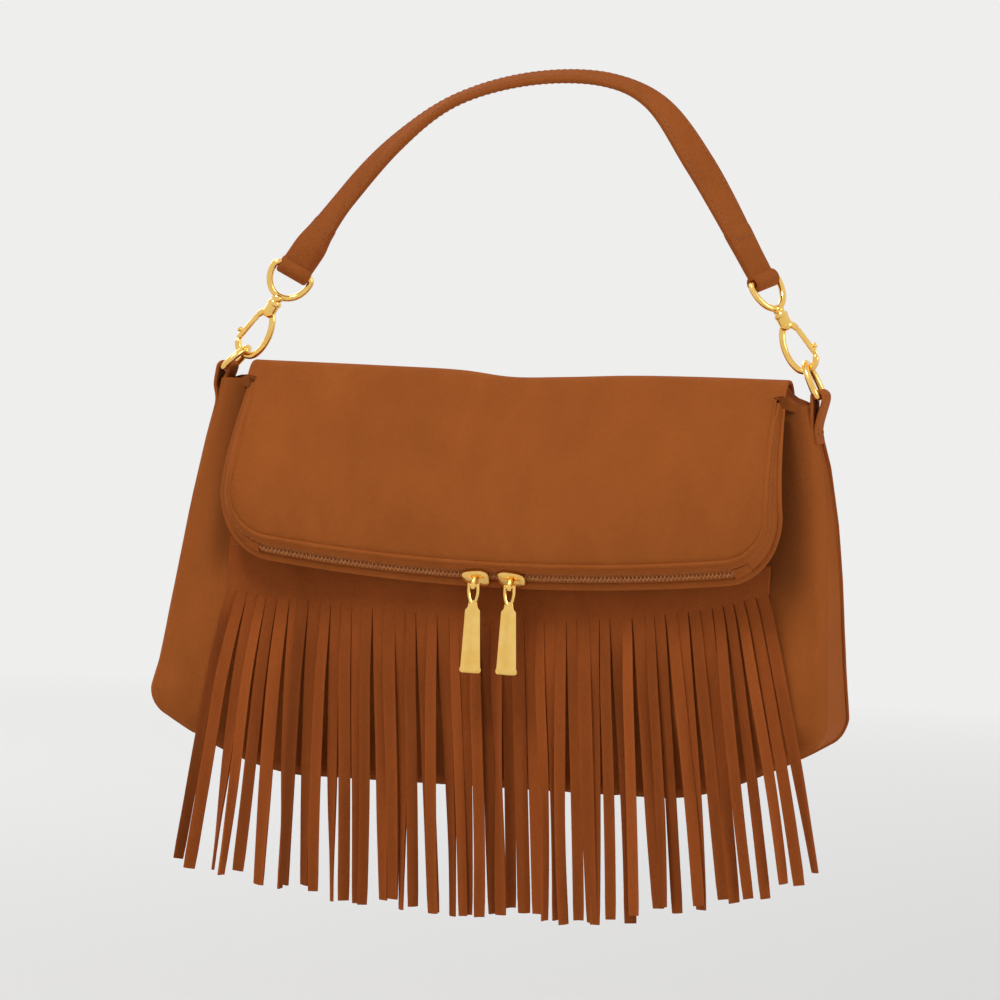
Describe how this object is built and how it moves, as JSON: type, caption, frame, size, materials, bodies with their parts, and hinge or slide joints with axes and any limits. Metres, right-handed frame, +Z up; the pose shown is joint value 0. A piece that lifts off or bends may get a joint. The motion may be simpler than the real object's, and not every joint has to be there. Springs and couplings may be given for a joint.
{
  "type": "fringed suede fold-over bag",
  "caption": "Small fold-over suede bag with a two-way zip along its folded flap, a fringe below it, and a short strap clipped to D-rings by swivel hooks.",
  "frame": {"origin": "underside of the strap at its crown, on the bag's middle plane, where a hand or a peg carries it", "axes": "+X to the right as seen from the flap side, +Y to the back, +Z up"},
  "size_m": [0.3042, 0.0879, 0.3739],
  "materials": {
    "suede": "matte",
    "gold_metal": "polished",
    "lining_fabric": "matte",
    "stiffener": "matte",
    "zip_tape": "matte",
    "zip_coil": "satin"
  },
  "bodies": {
    "strap": {"strap": "suede"},
    "bag": {"front_panel": "suede", "back_panel": "suede", "gusset_left": "suede", "gusset_right": "suede", "base_panel": "suede", "base_board": "stiffener", "lining": "lining_fabric", "inner_pocket": "lining_fabric", "fringe": "suede", "tab_left": "suede", "tab_right": "suede"},
    "flap": {"flap_outer": "suede", "flap_inner": "suede", "flap_piping": "suede", "zip_facing_outer": "suede", "zip_facing_inner": "suede", "zip_tape_outer": "zip_tape", "zip_tape_inner": "zip_tape", "zip_teeth_outer": "zip_coil", "zip_teeth_inner": "zip_coil", "zip_stop_left": "gold_metal", "zip_stop_right": "gold_metal", "band_end_left": "suede", "band_end_right": "suede"},
    "d_ring_left": {"d_ring_left": "gold_metal"},
    "hook_eye_left": {"hook_eye_left": "gold_metal"},
    "hook_left": {"hook_left": "gold_metal", "gate_pin_left": "gold_metal"},
    "hook_gate_left": {"hook_gate_left": "gold_metal"},
    "zip_slider_left": {"zip_slider_left": "gold_metal"},
    "zip_pull_left": {"zip_pull_left": "gold_metal"},
    "d_ring_right": {"d_ring_right": "gold_metal"},
    "hook_eye_right": {"hook_eye_right": "gold_metal"},
    "hook_right": {"hook_right": "gold_metal", "gate_pin_right": "gold_metal"},
    "hook_gate_right": {"hook_gate_right": "gold_metal"},
    "zip_slider_right": {"zip_slider_right": "gold_metal"},
    "zip_pull_right": {"zip_pull_right": "gold_metal"}
  },
  "joints": [
    {"name": "bag_swing", "type": "hinge", "parent": "strap", "child": "bag", "pos_m": [0.0008, 0, -0.1188], "axis": [0.9998, 0, 0.0215], "range_deg": [-18, 18]},
    {"name": "flap_lift", "type": "hinge", "parent": "bag", "child": "flap", "pos_m": [0, -0.01294, -0.135], "axis": [-1, 0, 0], "range_deg": [0, 135]},
    {"name": "zip_travel_left", "type": "hinge", "parent": "flap", "child": "zip_slider_left", "pos_m": [0, -0.0355, 0.6215], "axis": [0, 1, 0], "range_deg": [0, 5.9]},
    {"name": "pull_swing_left", "type": "hinge", "parent": "zip_slider_left", "child": "zip_pull_left", "pos_m": [-0.00804, -0.0401, -0.21831], "axis": [-1, 0, 0], "range_deg": [-10, 150]},
    {"name": "zip_travel_right", "type": "hinge", "parent": "flap", "child": "zip_slider_right", "pos_m": [0, -0.0355, 0.6215], "axis": [0, -1, 0], "range_deg": [0, 5.9]},
    {"name": "pull_swing_right", "type": "hinge", "parent": "zip_slider_right", "child": "zip_pull_right", "pos_m": [0.00804, -0.0401, -0.21831], "axis": [-1, 0, 0], "range_deg": [-10, 150]},
    {"name": "hook_tip_left", "type": "hinge", "parent": "strap", "child": "hook_eye_left", "pos_m": [-0.10479, 0, -0.08629], "axis": [0.8169, 0.342, -0.4644], "range_deg": [-1, 1]},
    {"name": "hook_swivel_left", "type": "hinge", "parent": "hook_eye_left", "child": "hook_left", "pos_m": [-0.1248, 0, -0.1215], "axis": [0.4942, 0, 0.8694], "range_deg": [-15, 15]},
    {"name": "gate_open_left", "type": "hinge", "parent": "hook_left", "child": "hook_gate_left", "pos_m": [-0.12042, 0, -0.10651], "axis": [0, -1, 0], "range_deg": [0, 20], "stiffness_Nm_per_rad": 0.01, "springref_deg": -5.73},
    {"name": "ring_turn_left", "type": "hinge", "parent": "bag", "child": "d_ring_left", "pos_m": [-0.1336, 0, -0.1305], "axis": [0, -1, 0], "range_deg": [-1.5, 1.5]},
    {"name": "hook_tip_right", "type": "hinge", "parent": "strap", "child": "hook_eye_right", "pos_m": [0.10602, 0, -0.0811], "axis": [0.4321, 0.866, 0.2516], "range_deg": [-1, 1]},
    {"name": "hook_swivel_right", "type": "hinge", "parent": "hook_eye_right", "child": "hook_right", "pos_m": [0.1264, 0, -0.1161], "axis": [-0.5033, 0, 0.8641], "range_deg": [-15, 15]},
    {"name": "gate_open_right", "type": "hinge", "parent": "hook_right", "child": "hook_gate_right", "pos_m": [0.12186, 0, -0.10115], "axis": [0, 1, 0], "range_deg": [0, 20], "stiffness_Nm_per_rad": 0.01, "springref_deg": -5.73},
    {"name": "ring_turn_right", "type": "hinge", "parent": "bag", "child": "d_ring_right", "pos_m": [0.1336, 0, -0.1305], "axis": [0, -1, 0], "range_deg": [-1.5, 1.5]}
  ]
}
